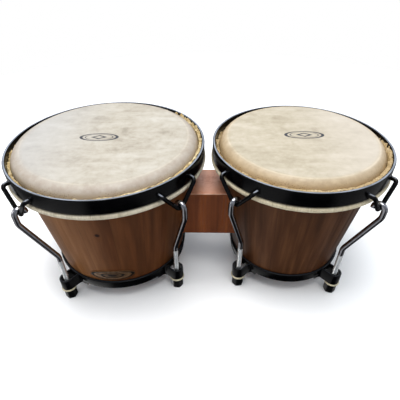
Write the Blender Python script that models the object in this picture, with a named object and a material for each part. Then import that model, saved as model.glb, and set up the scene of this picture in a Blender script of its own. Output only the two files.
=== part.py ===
"""Bongo drums: a large and a small drum of glued wooden staves, joined by a wooden centre block.

Each head of rawhide is held by a wrapped flesh hoop, which a steel rim pulls down. Four hook
rods hang on the rim's loops, pass through the ears of the bottom ring, and are drawn tight by
hex nuts under saddle washers. The pair stands on those eight nuts.

Metres, +Z up. X runs along the pair, from the large drum at -X to the small drum at +X.
The origin is at the middle of the footprint, on the surface that the nuts stand on.
"""

import math

import bmesh
import bpy
from mathutils import Matrix, Vector

# Running clearance between touching pieces
GAP = 0.0003

# Heights above the surface that the drums stand on
RING_BASE = 0.020
RING_TOP = 0.0328
LOOP_BOTTOM = 0.1402
HOOP_MIDDLE = 0.1550
RIM_BASE = 0.1588
LOOP_ENDS = 0.1638
RIM_TOP = 0.1747

# The two drums: radii at the outside of each piece, heights of the tuning rods' two bends, and
# how far the rim's loops and the bottom ring's ears are turned from the diagonals
DRUMS = {
    "large": {
        "shell_foot": 0.0780,
        "shell_mouth": 0.1000,
        "rim": 0.1085,
        "hoop": 0.1100,
        "head_flat": 0.0905,
        "shoulder_bend": 0.1290,
        "ankle_bend": 0.0680,
        "loop_turn": math.radians(4.0),
        "ear_turn": math.radians(8.0),
    },
    "small": {
        "shell_foot": 0.0650,
        "shell_mouth": 0.0865,
        "rim": 0.0958,
        "hoop": 0.0973,
        "head_flat": 0.0795,
        "shoulder_bend": 0.1315,
        "ankle_bend": 0.0720,
        "loop_turn": math.radians(-2.5),
        "ear_turn": math.radians(-4.5),
    },
}
CENTRE_DISTANCE = 0.2132

# Shells
SHELL_WALL = 0.0090
SHELL_TOP = 0.1784
SHOULDER_DROP = 0.0085
AROUND = 48

# Heads, flesh hoops and rims
HEAD_THICKNESS = 0.0013
SKIRT_BASE = 0.1590
HOOP_TUBE = 0.0035
COLLAR_THICKNESS = 0.0009
COLLAR_TOP = 0.1762
RIM_THICKNESS = 0.0030

# Rim loops and tuning rods
LOOP_ROD = 0.0022
LOOP_HALF_WIDTH = 0.0215
LOOP_SEAT_HALF = 0.0030
LOOP_CLEARANCE = 0.0026
TUNING_ROD = 0.0030
HOOK_TIP_DROP = 0.0014
ROD_END = 0.0038
ROD_OFFSET = 0.0128

# Bottom rings, washers and nuts
RING_THICKNESS = 0.0028
EAR_RADIUS = 0.0080
EAR_THICKNESS = 0.0024
EAR_BASE = 0.0172
EAR_TOP = 0.0322
WASHER_RADIUS = 0.0088
WASHER_THICKNESS = 0.0022
NUT_ACROSS_FLATS = 0.0127
NUT_CHAMFER = 0.0012

# The four lugs of a drum, on its diagonals
LUG_ANGLES = [math.radians(angle) for angle in (-135, -45, 45, 135)]
LUG_NAMES = ["front_left", "front_right", "back_right", "back_left"]

# Centre block and the two bolts through it
BLOCK_BASE = 0.0600
BLOCK_TOP = 0.1210
BLOCK_DEPTH = 0.0520
BOLT_HEIGHTS = {"lower": 0.0765, "upper": 0.1045}
BOLT_RADIUS = 0.0040
BOLT_HEAD_RADIUS = 0.0085
BOLT_HEAD_HEIGHT = 0.0040
BOLT_NUT_ACROSS_FLATS = 0.0130
BOLT_NUT_HEIGHT = 0.0065
PLATE_SIZE = (0.0300, 0.0560)
PLATE_DEPTH = 0.0060
BOLT_WASHER_RADIUS = 0.0100
BOLT_WASHER_THICKNESS = 0.0016

# Badge low on the front of the large drum
BADGE_HALF_ANGLE = math.radians(18.0)
BADGE_HALF_HEIGHT = 0.0085
BADGE_MIDDLE = 0.0450
BADGE_ANGLE = math.radians(-88.0)
BADGE_THICKNESS = 0.0012

PAIR_LENGTH = DRUMS["large"]["hoop"] + CENTRE_DISTANCE + DRUMS["small"]["hoop"]
DRUMS["large"]["x"] = DRUMS["large"]["hoop"] - PAIR_LENGTH / 2
DRUMS["small"]["x"] = DRUMS["large"]["x"] + CENTRE_DISTANCE


def material(name, colour, roughness, metallic=0.0):
    """A Principled material."""
    made = bpy.data.materials.new(name)
    made.use_nodes = True
    shader = made.node_tree.nodes["Principled BSDF"]
    shader.inputs["Base Color"].default_value = (*colour, 1.0)
    shader.inputs["Roughness"].default_value = roughness
    shader.inputs["Metallic"].default_value = metallic
    return made


def add_object(name, mesh, finish, location=(0, 0, 0), turn=0.0, parent=None):
    """Put a mesh in the scene, turned about Z, with one material."""
    piece = bpy.data.objects.new(name, mesh)
    piece.location = location
    piece.rotation_euler = (0, 0, turn)
    piece.parent = parent
    if not mesh.materials:
        mesh.materials.append(finish)
    bpy.context.collection.objects.link(piece)
    return piece


def to_mesh(name, shape, smooth_angle=40):
    """Turn a bmesh into a mesh with its normals outward and its round faces smooth."""
    bmesh.ops.recalc_face_normals(shape, faces=shape.faces)
    mesh = bpy.data.meshes.new(name)
    shape.to_mesh(mesh)
    shape.free()
    mesh.shade_smooth()
    mesh.set_sharp_from_angle(angle=math.radians(smooth_angle))
    return mesh


def turned(name, profile, segments=AROUND):
    """Turn a closed profile of (radius, height) points about Z. Points at radius 0 become poles."""
    shape = bmesh.new()
    rings = []
    for radius, height in profile:
        if radius == 0:
            rings.append([shape.verts.new((0, 0, height))] * segments)
            continue
        steps = [2 * math.pi * step / segments for step in range(segments)]
        rings.append([shape.verts.new((radius * math.cos(a), radius * math.sin(a), height)) for a in steps])
    for ring, following in zip(rings, rings[1:] + rings[:1]):
        for step in range(segments):
            after = (step + 1) % segments
            corners = [ring[step], ring[after], following[after], following[step]]
            corners = list(dict.fromkeys(corners))
            if len(corners) > 2:
                shape.faces.new(corners)
    return to_mesh(name, shape)


def rounded_path(corners, radii, steps=4):
    """A path through the corners, with an arc of the given radius at each inner corner."""
    points = [Vector(corners[0])]
    for before, corner, after, radius in zip(corners, corners[1:], corners[2:], radii):
        corner = Vector(corner)
        inward = (Vector(before) - corner).normalized()
        outward = (Vector(after) - corner).normalized()
        half_angle = inward.angle(outward) / 2
        centre = corner + (inward + outward).normalized() * (radius / math.sin(half_angle))
        start = corner + inward * (radius / math.tan(half_angle)) - centre
        end = corner + outward * (radius / math.tan(half_angle)) - centre
        sweep = start.angle(end)
        for step in range(steps + 1):
            share = step / steps
            from_start = start * math.sin((1 - share) * sweep) / math.sin(sweep)
            from_end = end * math.sin(share * sweep) / math.sin(sweep)
            points.append(centre + from_start + from_end)
    points.append(Vector(corners[-1]))
    return points


def add_tube(shape, path, radius, sides=8):
    """Sweep a round rod along the path, with flat ends."""
    rings = []
    side = None
    for index, point in enumerate(path):
        before = path[max(index - 1, 0)]
        after = path[min(index + 1, len(path) - 1)]
        along = (after - before).normalized()
        if side is None:
            side = along.orthogonal().normalized()
        side = (side - along * side.dot(along)).normalized()
        across = along.cross(side)
        ring = []
        for step in range(sides):
            angle = 2 * math.pi * (step + 0.5) / sides
            ring.append(shape.verts.new(point + radius * (math.cos(angle) * side + math.sin(angle) * across)))
        rings.append(ring)
    for ring, following in zip(rings, rings[1:]):
        for step in range(sides):
            after = (step + 1) % sides
            shape.faces.new([ring[step], ring[after], following[after], following[step]])
    shape.faces.new(rings[0])
    shape.faces.new(rings[-1])


def add_prism(shape, outline, low, high, hole=None):
    """Extrude a flat outline of (x, y) points along Z, with an optional hole of as many points."""
    inner = hole or []
    layers = []
    for height in (low, high):
        layers.append([
            [shape.verts.new((x, y, height)) for x, y in outline],
            [shape.verts.new((x, y, height)) for x, y in inner],
        ])
    count = len(outline)
    for step in range(count):
        after = (step + 1) % count
        (bottom, bottom_hole), (top, top_hole) = layers
        shape.faces.new([bottom[step], bottom[after], top[after], top[step]])
        if hole:
            shape.faces.new([bottom_hole[step], bottom_hole[after], top_hole[after], top_hole[step]])
            shape.faces.new([bottom[step], bottom[after], bottom_hole[after], bottom_hole[step]])
            shape.faces.new([top[step], top[after], top_hole[after], top_hole[step]])
    if not hole:
        for outer, _ in layers:
            shape.faces.new(outer)


def circle(radius, count, centre=(0, 0), start=0.0):
    """Points of a circle in a plane."""
    angles = [start + 2 * math.pi * step / count for step in range(count)]
    return [(centre[0] + radius * math.cos(a), centre[1] + radius * math.sin(a)) for a in angles]


def boolean(piece, operand, operation):
    """Join or cut a piece with a guide object, which is left out of the model."""
    modifier = piece.modifiers.new(operation.lower(), "BOOLEAN")
    modifier.operation = operation
    modifier.object = operand
    operand.hide_render = True
    operand.display_type = "WIRE"


def shell_radius(drum, height):
    """Outer radius of a drum's tapered shell at a height."""
    share = (height - RING_BASE) / (SHELL_TOP - SHOULDER_DROP - RING_BASE)
    return drum["shell_foot"] + share * (drum["shell_mouth"] - drum["shell_foot"])


def shoulder(drum, lift, degrees):
    """Rounded bearing edge of a shell, lifted off the wood: from the top (0) to the side (90)."""
    points = []
    for angle in (math.radians(value) for value in degrees):
        radius = drum["head_flat"] + (drum["shell_mouth"] - drum["head_flat"] + lift) * math.sin(angle)
        height = SHELL_TOP - SHOULDER_DROP + (SHOULDER_DROP + lift) * math.cos(angle)
        points.append((radius, height))
    return points


def shell_mesh(name, drum):
    """Tapered shell with a rounded bearing edge, open at both ends."""
    base = RING_BASE + GAP
    foot = shell_radius(drum, base)
    inside = drum["shell_mouth"] - SHELL_WALL
    profile = [(foot, base)] + shoulder(drum, 0.0, (90, 65, 40, 15))
    profile += [(inside + 0.0010, SHELL_TOP - 0.0004), (inside, SHELL_TOP - 0.0015)]
    profile += [(inside, SHELL_TOP - SHOULDER_DROP), (foot - SHELL_WALL, base)]
    return turned(name, profile)


def head_mesh(name, drum):
    """Rawhide skin: a flat playing face, a rounded shoulder, and a skirt down the shell."""
    degrees = (0, 22, 45, 68, 90)
    outer = shoulder(drum, GAP + HEAD_THICKNESS, degrees)
    inner = shoulder(drum, GAP, degrees)
    profile = [(0, outer[0][1])] + outer + [(outer[-1][0], SKIRT_BASE), (inner[-1][0], SKIRT_BASE)]
    profile += list(reversed(inner)) + [(0, inner[0][1])]
    return turned(name, profile)


def hoop_mesh(name, drum):
    """Skin-wrapped flesh hoop, with the skin's trimmed edge standing up inside the rim."""
    middle = drum["hoop"] - HOOP_TUBE
    outside = drum["rim"] - RIM_THICKNESS - GAP
    inside = outside - COLLAR_THICKNESS
    start = math.acos((outside - middle) / HOOP_TUBE)
    end = math.acos((inside - middle) / HOOP_TUBE)
    steps = 7
    sweep = 2 * math.pi - (end - start)
    profile = []
    for step in range(steps + 1):
        angle = start - sweep * step / steps
        profile.append((middle + HOOP_TUBE * math.cos(angle), HOOP_MIDDLE + HOOP_TUBE * math.sin(angle)))
    profile += [(inside, COLLAR_TOP), (outside, COLLAR_TOP)]
    return turned(name, profile)


def rim_band_mesh(name, drum):
    """Flat steel band of the rim."""
    outer = drum["rim"]
    inner = outer - RIM_THICKNESS
    return turned(name, [(outer, RIM_BASE), (outer, RIM_TOP), (inner, RIM_TOP), (inner, RIM_BASE)])


def loop_radius(drum):
    """Distance from the drum's axis to the plane that holds a rim loop."""
    return drum["hoop"] + LOOP_CLEARANCE


def rim_loops_mesh(name, drum):
    """The four round-rod loops that are welded to a rim: a stub out of the band, then a V."""
    reach = loop_radius(drum)
    half = LOOP_HALF_WIDTH
    root = math.sqrt(drum["rim"] ** 2 - half ** 2) - RIM_THICKNESS / 2
    corners = [
        (root, -half, LOOP_ENDS),
        (reach, -half, LOOP_ENDS),
        (reach, -LOOP_SEAT_HALF, LOOP_BOTTOM),
        (reach, LOOP_SEAT_HALF, LOOP_BOTTOM),
        (reach, half, LOOP_ENDS),
        (root, half, LOOP_ENDS),
    ]
    path = rounded_path(corners, [0.0035, 0.0050, 0.0050, 0.0035], 3)
    shape = bmesh.new()
    for lug in LUG_ANGLES:
        spin = Matrix.Rotation(lug + drum["loop_turn"], 3, "Z")
        add_tube(shape, [spin @ point for point in path], LOOP_ROD)
    return to_mesh(name, shape)


def rod_radius(drum):
    """Distance from the drum's axis to the straight lower end of a tuning rod."""
    return drum["shell_foot"] + RING_THICKNESS + GAP + ROD_OFFSET


def tuning_rod_mesh(name, drum):
    """Hook rod: over a rim loop in the XZ plane, down and in to its ear, then straight down."""
    crook = LOOP_ROD + TUNING_ROD + GAP
    over = loop_radius(drum)
    twist = drum["ear_turn"] - drum["loop_turn"]
    foot = rod_radius(drum) * Vector((math.cos(twist), math.sin(twist), 0))
    arc = [(over + crook * math.cos(a), 0, LOOP_BOTTOM + crook * math.sin(a))
           for a in (math.radians(angle) for angle in (180, 144, 108, 72, 36, 0))]
    tip = (over - crook, 0, LOOP_BOTTOM - HOOK_TIP_DROP)
    corners = [
        arc[-1],
        (over + crook, 0, drum["shoulder_bend"]),
        (foot.x, foot.y, drum["ankle_bend"]),
        (foot.x, foot.y, ROD_END),
    ]
    path = [Vector(tip)] + [Vector(point) for point in arc[:-1]] + rounded_path(corners, [0.014, 0.016], 3)
    shape = bmesh.new()
    add_tube(shape, path, TUNING_ROD)
    return to_mesh(name, shape)


def ring_band_mesh(name, drum):
    """Flat steel band around the foot of a shell, tapered like the shell."""
    base = shell_radius(drum, RING_BASE) + GAP
    top = shell_radius(drum, RING_TOP) + GAP
    outside = [(base + RING_THICKNESS, RING_BASE), (top + RING_THICKNESS, RING_TOP)]
    return turned(name, outside + [(top, RING_TOP), (base, RING_BASE)])


def ring_ears_mesh(name, drum):
    """The four strap ears of a bottom ring: U-shaped in plan, each around a tuning rod."""
    middle = rod_radius(drum)
    root = shell_radius(drum, RING_TOP) + GAP + 0.0001
    bends = [math.radians(angle) for angle in range(-90, 91, 30)]

    def strap_side(radius):
        bend = [(middle + radius * math.cos(a), radius * math.sin(a)) for a in bends]
        return [(root, -radius)] + bend + [(root, radius)]

    outline = strap_side(EAR_RADIUS) + list(reversed(strap_side(EAR_RADIUS - EAR_THICKNESS)))
    shape = bmesh.new()
    for lug in LUG_ANGLES:
        spin = Matrix.Rotation(lug + drum["ear_turn"], 3, "Z")
        turned_outline = [(spin @ Vector((x, y, 0))).to_2d() for x, y in outline]
        add_prism(shape, turned_outline, EAR_BASE, EAR_TOP)
    return to_mesh(name, shape)


def washer_mesh(name, radius, bore, thickness):
    """Round washer, its top at height 0."""
    shape = bmesh.new()
    add_prism(shape, circle(radius, 16), -thickness, 0, circle(bore, 16))
    return to_mesh(name, shape)


def nut_mesh(name, across_flats, bore, height):
    """Hex nut on Z, from height 0 up, chamfered around its lower face and bored right through."""
    corner = across_flats / 2 / math.cos(math.pi / 6)
    low = circle(corner - NUT_CHAMFER, 12)
    shape = bmesh.new()
    hexagon = []
    for step in range(12):
        radius = corner if step % 2 == 0 else across_flats / 2
        angle = math.pi / 6 * step
        hexagon.append((radius * math.cos(angle), radius * math.sin(angle)))
    hole = circle(bore, 12)
    layers = [(low, 0), (hexagon, NUT_CHAMFER), (hexagon, height), (hole, height), (hole, 0)]
    rings = [[shape.verts.new((x, y, level)) for x, y in points] for points, level in layers]
    for ring, following in zip(rings, rings[1:] + rings[:1]):
        for step in range(12):
            after = (step + 1) % 12
            shape.faces.new([ring[step], ring[after], following[after], following[step]])
    return to_mesh(name, shape, 20)


def x_rod_mesh(name, sections, sides=12):
    """Rod along X made of (radius, start, end) sections, each centred on the X axis."""
    shape = bmesh.new()
    rings = []
    for radius, start, end in sections:
        for x in (start, end):
            rings.append([shape.verts.new((x, y, z)) for y, z in circle(radius, sides)])
    for ring, following in zip(rings, rings[1:]):
        for step in range(sides):
            after = (step + 1) % sides
            shape.faces.new([ring[step], ring[after], following[after], following[step]])
    shape.faces.new(rings[0])
    shape.faces.new(rings[-1])
    return to_mesh(name, shape)


def box_mesh(name, low, high):
    """Box between two corners."""
    shape = bmesh.new()
    outline = [(low[0], low[1]), (high[0], low[1]), (high[0], high[1]), (low[0], high[1])]
    add_prism(shape, outline, low[2], high[2])
    return to_mesh(name, shape, 20)


def cone_guide(name, drum, offset, finish):
    """A solid cone that follows a shell's outer face, offset from it, for cutting."""
    low = RING_BASE - 0.01
    high = SHELL_TOP + 0.01
    profile = [(0, low), (shell_radius(drum, low) + offset, low), (shell_radius(drum, high) + offset, high), (0, high)]
    return add_object(name, turned(name, profile), finish, (drum["x"], 0, 0))


def badge_mesh(name, drum):
    """Plain oval badge plate, curved around the shell."""
    columns = 12
    shape = bmesh.new()
    rings = []
    for step in range(columns + 1):
        share = 2 * step / columns - 1
        angle = BADGE_ANGLE + share * BADGE_HALF_ANGLE
        half = BADGE_HALF_HEIGHT * math.sqrt(1.04 - share ** 2)
        ring = []
        for height, lift in ((-half, 0), (half, 0), (half, BADGE_THICKNESS), (-half, BADGE_THICKNESS)):
            level = BADGE_MIDDLE + height
            radius = shell_radius(drum, level) + GAP + lift
            ring.append(shape.verts.new((radius * math.cos(angle), radius * math.sin(angle), level)))
        rings.append(ring)
    for ring, following in zip(rings, rings[1:]):
        for step in range(4):
            after = (step + 1) % 4
            shape.faces.new([ring[step], ring[after], following[after], following[step]])
    shape.faces.new(rings[0])
    shape.faces.new(rings[-1])
    return to_mesh(name, shape, 30)


def build_drum(size, drum, finishes):
    """One drum: shell, head, hoop, rim, bottom ring, and four sets of rod, washer and nut."""
    axis = bpy.data.objects.new(f"{size}_axis", None)
    axis.location = (drum["x"], 0, 0)
    bpy.context.collection.objects.link(axis)

    shell = add_object(f"{size}_shell", shell_mesh(f"{size}_shell", drum), finishes["wood"], parent=axis)
    add_object(f"{size}_head", head_mesh(f"{size}_head", drum), finishes["rawhide"], parent=axis)
    add_object(f"{size}_flesh_hoop", hoop_mesh(f"{size}_hoop", drum), finishes["hide_wrap"], parent=axis)

    rim = add_object(f"{size}_rim", rim_band_mesh(f"{size}_rim", drum), finishes["black"], parent=axis)
    loops_mesh = rim_loops_mesh(f"{size}_rim_loops", drum)
    boolean(rim, add_object(f"{size}_rim_loops", loops_mesh, finishes["black"], parent=axis), "UNION")

    ring = add_object(f"{size}_bottom_ring", ring_band_mesh(f"{size}_ring", drum), finishes["black"], parent=axis)
    ears_mesh = ring_ears_mesh(f"{size}_ring_ears", drum)
    boolean(ring, add_object(f"{size}_ring_ears", ears_mesh, finishes["black"], parent=axis), "UNION")

    washer_top = EAR_BASE - GAP
    nut_height = washer_top - WASHER_THICKNESS - GAP
    rod_shape = tuning_rod_mesh(f"{size}_tuning_rod", drum)
    washer_shape = washer_mesh(f"{size}_washer", WASHER_RADIUS, TUNING_ROD + 0.0004, WASHER_THICKNESS)
    nut_shape = nut_mesh(f"{size}_nut", NUT_ACROSS_FLATS, TUNING_ROD + GAP, nut_height)
    for lug, place in zip(LUG_ANGLES, LUG_NAMES):
        turn = lug + drum["ear_turn"]
        foot = Vector((rod_radius(drum) * math.cos(turn), rod_radius(drum) * math.sin(turn), 0))
        lifted = foot + Vector((0, 0, washer_top))
        rod_turn = lug + drum["loop_turn"]
        add_object(f"{size}_rod_{place}", rod_shape, finishes["chrome"], turn=rod_turn, parent=axis)
        add_object(f"{size}_washer_{place}", washer_shape, finishes["zinc"], lifted, turn, axis)
        add_object(f"{size}_nut_{place}", nut_shape, finishes["black"], foot, turn, axis)
    return shell


def build_bridge(shells, finishes):
    """Centre block, and the plates, bolts, washers and nuts that clamp both shells to it."""
    large, small = DRUMS["large"], DRUMS["small"]
    guides = {size: cone_guide(f"{size}_outside", drum, GAP, finishes["wood"]) for size, drum in DRUMS.items()}
    half_depth = BLOCK_DEPTH / 2
    block_mesh = box_mesh("centre_block", (large["x"] + 0.05, -half_depth, BLOCK_BASE),
                          (small["x"] - 0.04, half_depth, BLOCK_TOP))
    block = add_object("centre_block", block_mesh, finishes["block"])
    bevel = block.modifiers.new("edges", "BEVEL")
    bevel.width = 0.0015
    bevel.segments = 1
    for guide in guides.values():
        boolean(block, guide, "DIFFERENCE")

    middle = (BOLT_HEIGHTS["lower"] + BOLT_HEIGHTS["upper"]) / 2
    half_width, half_height = PLATE_SIZE[0] / 2, PLATE_SIZE[1] / 2
    faces = {}
    plates = {}
    for size, drum in DRUMS.items():
        towards = 1 if size == "large" else -1
        reach = shell_radius(drum, middle - half_height) - SHELL_WALL - PLATE_DEPTH
        faces[size] = drum["x"] + towards * reach
        ends = sorted((faces[size], drum["x"] + towards * (reach + 0.03)))
        plate_mesh = box_mesh(f"{size}_backing_plate", (ends[0], -half_width, middle - half_height),
                              (ends[1], half_width, middle + half_height))
        plates[size] = add_object(f"{size}_backing_plate", plate_mesh, finishes["block"])
        bore = cone_guide(f"{size}_inside", drum, -SHELL_WALL - GAP, finishes["wood"])
        boolean(plates[size], bore, "INTERSECT")

    shape = bmesh.new()
    for height in BOLT_HEIGHTS.values():
        ends = [Vector((faces["large"] - 0.02, 0, height)), Vector((faces["small"] + 0.02, 0, height))]
        add_tube(shape, ends, BOLT_RADIUS + 2 * GAP, 16)
    holes = add_object("bolt_holes", to_mesh("bolt_holes", shape), finishes["zinc"])
    for piece in [block, *shells, *plates.values()]:
        boolean(piece, holes, "DIFFERENCE")

    washer = washer_mesh("bolt_washer", BOLT_WASHER_RADIUS, BOLT_RADIUS + GAP, BOLT_WASHER_THICKNESS)
    nut = nut_mesh("bolt_nut", BOLT_NUT_ACROSS_FLATS, BOLT_RADIUS + GAP, BOLT_NUT_HEIGHT)
    head_seat = faces["large"] - 2 * GAP - BOLT_WASHER_THICKNESS
    nut_seat = faces["small"] + 2 * GAP + BOLT_WASHER_THICKNESS
    bolt_end = nut_seat + BOLT_NUT_HEIGHT + 0.004
    sections = [(BOLT_HEAD_RADIUS * 0.75, head_seat - BOLT_HEAD_HEIGHT, head_seat - BOLT_HEAD_HEIGHT * 0.6),
                (BOLT_HEAD_RADIUS, head_seat - BOLT_HEAD_HEIGHT * 0.4, head_seat),
                (BOLT_RADIUS, head_seat, bolt_end)]
    bolt = x_rod_mesh("bridge_bolt", sections)
    for place, height in BOLT_HEIGHTS.items():
        add_object(f"bridge_bolt_{place}", bolt, finishes["zinc"], (0, 0, height))
        for size, face, lift in (("large", faces["large"] - GAP, 1), ("small", faces["small"] + GAP, -1)):
            piece = add_object(f"{size}_bolt_washer_{place}", washer, finishes["zinc"], (face, 0, height))
            piece.rotation_euler = (0, lift * math.pi / 2, 0)
        piece = add_object(f"bolt_nut_{place}", nut, finishes["zinc"], (nut_seat + BOLT_NUT_HEIGHT + GAP, 0, height))
        piece.rotation_euler = (0, -math.pi / 2, 0)


def main():
    for leftover in list(bpy.data.objects):
        bpy.data.objects.remove(leftover, do_unlink=True)
    finishes = {
        "wood": material("stained_staves", (0.115, 0.042, 0.018), 0.38),
        "block": material("block_wood", (0.165, 0.050, 0.022), 0.42),
        "rawhide": material("rawhide", (0.70, 0.62, 0.48), 0.55),
        "hide_wrap": material("hide_wrap", (0.72, 0.66, 0.50), 0.60),
        "black": material("black_steel", (0.008, 0.008, 0.009), 0.22),
        "chrome": material("chrome", (0.62, 0.62, 0.64), 0.12, 1.0),
        "zinc": material("zinc", (0.62, 0.60, 0.54), 0.35, 1.0),
        "badge": material("badge_metal", (0.10, 0.085, 0.075), 0.35, 1.0),
    }
    shells = [build_drum(size, drum, finishes) for size, drum in DRUMS.items()]
    build_bridge(shells, finishes)
    large = DRUMS["large"]
    add_object("badge", badge_mesh("badge", large), finishes["badge"], (large["x"], 0, 0))


main()
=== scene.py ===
"""Looks for the bongo drums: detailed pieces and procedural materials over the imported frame.

Metres, in the CAD model's own frame: X from the large drum to the small one, +Z up, and the
tuning nuts stand on height 0. Each drum's pieces are built about the drum's own axis.
"""

import math

import bmesh
import bpy
from mathutils import Matrix, Vector, noise


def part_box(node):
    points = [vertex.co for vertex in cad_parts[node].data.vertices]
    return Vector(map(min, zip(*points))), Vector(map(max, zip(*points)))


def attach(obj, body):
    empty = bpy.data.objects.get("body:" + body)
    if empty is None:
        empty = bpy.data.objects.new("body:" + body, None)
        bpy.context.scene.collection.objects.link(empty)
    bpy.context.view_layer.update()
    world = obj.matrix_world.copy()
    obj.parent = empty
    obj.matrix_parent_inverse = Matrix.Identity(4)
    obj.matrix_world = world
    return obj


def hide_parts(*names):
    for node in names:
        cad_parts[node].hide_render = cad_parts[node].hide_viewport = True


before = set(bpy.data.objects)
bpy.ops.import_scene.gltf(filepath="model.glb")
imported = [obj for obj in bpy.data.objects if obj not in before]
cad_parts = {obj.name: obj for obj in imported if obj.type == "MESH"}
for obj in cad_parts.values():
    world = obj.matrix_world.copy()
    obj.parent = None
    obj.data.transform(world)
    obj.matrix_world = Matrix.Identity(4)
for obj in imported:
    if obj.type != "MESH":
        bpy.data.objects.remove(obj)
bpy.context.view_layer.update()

# Heights
RING_BASE = 0.020
RING_TOP = 0.0328
LOOP_BOTTOM = 0.1402
HOOP_MIDDLE = 0.1550
RIM_BASE = 0.1588
LOOP_ENDS = 0.1638
RIM_TOP = 0.1747
SKIRT_BASE = 0.1590
COLLAR_BASE = 0.1572
COLLAR_TUCK = 0.1602
COLLAR_HIGH = 0.1741
COLLAR_TOP = 0.1762
SHELL_TOP = 0.1784
SHOULDER_DROP = 0.0085
HEAD_TOP = 0.1800

# The two drums, large and small: radii at the outside of each piece, heights of the rods' bends, turns
# of loops and ears, how marked the head's edge is, and the trimmed skin's lowest height and side angles
DRUM_TABLE = {
    "x": (-0.10025, 0.11295),
    "shell_foot": (0.0780, 0.0650),
    "shell_mouth": (0.1000, 0.0865),
    "rim": (0.1085, 0.0958),
    "hoop": (0.1100, 0.0973),
    "head_flat": (0.0905, 0.0795),
    "shoulder_bend": (0.1290, 0.1315),
    "ankle_bend": (0.0680, 0.0720),
    "loop_turn": (math.radians(4.0), math.radians(-2.5)),
    "ear_turn": (math.radians(8.0), math.radians(-4.5)),
    "crisp": (0.45, 1.0),
    "trim_height": (0.1676, 0.1650),
    "trim_high_side": (math.radians(-25), math.radians(-75)),
    "trim_ragged_side": (math.radians(25), math.radians(5)),
}
DRUMS = {size: {key: pair[place] for key, pair in DRUM_TABLE.items()}
         for place, size in enumerate(("large", "small"))}
LUGS = {
    "front_left": math.radians(-135),
    "front_right": math.radians(-45),
    "back_right": math.radians(45),
    "back_left": math.radians(135),
}

GAP = 0.0003
SHELL_WALL = 0.0090
HEAD_THICKNESS = 0.0013
HOOP_TUBE = 0.0035
RIM_THICKNESS = 0.0030
LOOP_ROD = 0.0022
LOOP_HALF_WIDTH = 0.0215
LOOP_SEAT_HALF = 0.0030
LOOP_CLEARANCE = 0.0026
TUNING_ROD = 0.0030
HOOK_TIP_DROP = 0.0014
THREAD_TOP = 0.0620
THREAD_PITCH = 0.0010
THREAD_DEPTH = 0.00045
ROD_END = 0.0038
ROD_OFFSET = 0.0128
RING_THICKNESS = 0.0028
EAR_RADIUS = 0.0080
EAR_THICKNESS = 0.0024
EAR_BASE = 0.0172
EAR_TOP = 0.0322
WASHER_RADIUS = 0.0088
WASHER_THICKNESS = 0.0022
NUT_ACROSS_FLATS = 0.0127
BLOCK_BASE = 0.0600
BLOCK_TOP = 0.1210
BLOCK_DEPTH = 0.0520
BOLT_HEIGHTS = {"lower": 0.0765, "upper": 0.1045}
BOLT_RADIUS = 0.0040
BOLT_HEAD_RADIUS = 0.0085
BOLT_HEAD_HEIGHT = 0.0040
BOLT_NUT_ACROSS_FLATS = 0.0130
BOLT_NUT_HEIGHT = 0.0065
BOLT_THREAD = 0.022
BOLT_THREAD_STEP = 0.0003
BOLT_END = 0.004
NUT_LIP = 0.0006
BOLT_WASHER_RADIUS = 0.0100
BOLT_WASHER_THICKNESS = 0.0016
BADGE_HALF_ANGLE = math.radians(18.0)
BADGE_HALF_HEIGHT = 0.0085
BADGE_MIDDLE = 0.0450
BADGE_ANGLE = math.radians(-88.0)
# The badge's height above the shell at shares of the way from its middle to its edge
BADGE_RELIEF = ((0.00, 0.00118), (0.16, 0.00118), (0.20, 0.00085), (0.40, 0.00080), (0.44, 0.00112),
                (0.52, 0.00112), (0.56, 0.00078), (0.84, 0.00074), (0.89, 0.00120), (0.96, 0.00120),
                (1.00, 0.00085))

# Print on the heads
PRINT_HALF_WIDTH = 0.0200
PRINT_HALF_DEPTH = 0.0080
LOZENGE_HALF_WIDTH = 0.0085
LOZENGE_HALF_DEPTH = 0.0042

# Studio lights: place, size, power and tint. All are aimed at the drums.
LIGHT_TARGET = (0, 0, 0.1)
LIGHTS = {
    "overhead": ((-0.10, -0.10, 1.50), (1.1, 0.8), 19.6, (1.0, 0.995, 0.985)),
    "strip": ((-0.10, -0.10, 1.20), (1.8, 0.10), 4.0, (1.0, 0.99, 0.97)),
    "window_back": ((0.0, 1.30, 1.15), (2.2, 0.4), 6.0, (0.90, 0.95, 1.0)),
    "window_left": ((-1.2, -0.35, 0.55), (0.5, 0.8), 3.4, (1.0, 0.985, 0.96)),
    "window_right": ((1.2, -0.10, 0.55), (0.4, 0.8), 2.0, (0.90, 0.95, 1.0)),
}
FLOOR_RADIUS = 0.95

MILLIMETRES = 1000.0


# ---------------------------------------------------------------- materials

def colour(hexadecimal):
    """Linear RGBA of an sRGB colour written as six hexadecimal digits."""
    parts = [int(hexadecimal[start:start + 2], 16) / 255 for start in (0, 2, 4)]
    linear = [part / 12.92 if part <= 0.04045 else ((part + 0.055) / 1.055) ** 2.4 for part in parts]
    return (*linear, 1.0)


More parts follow.
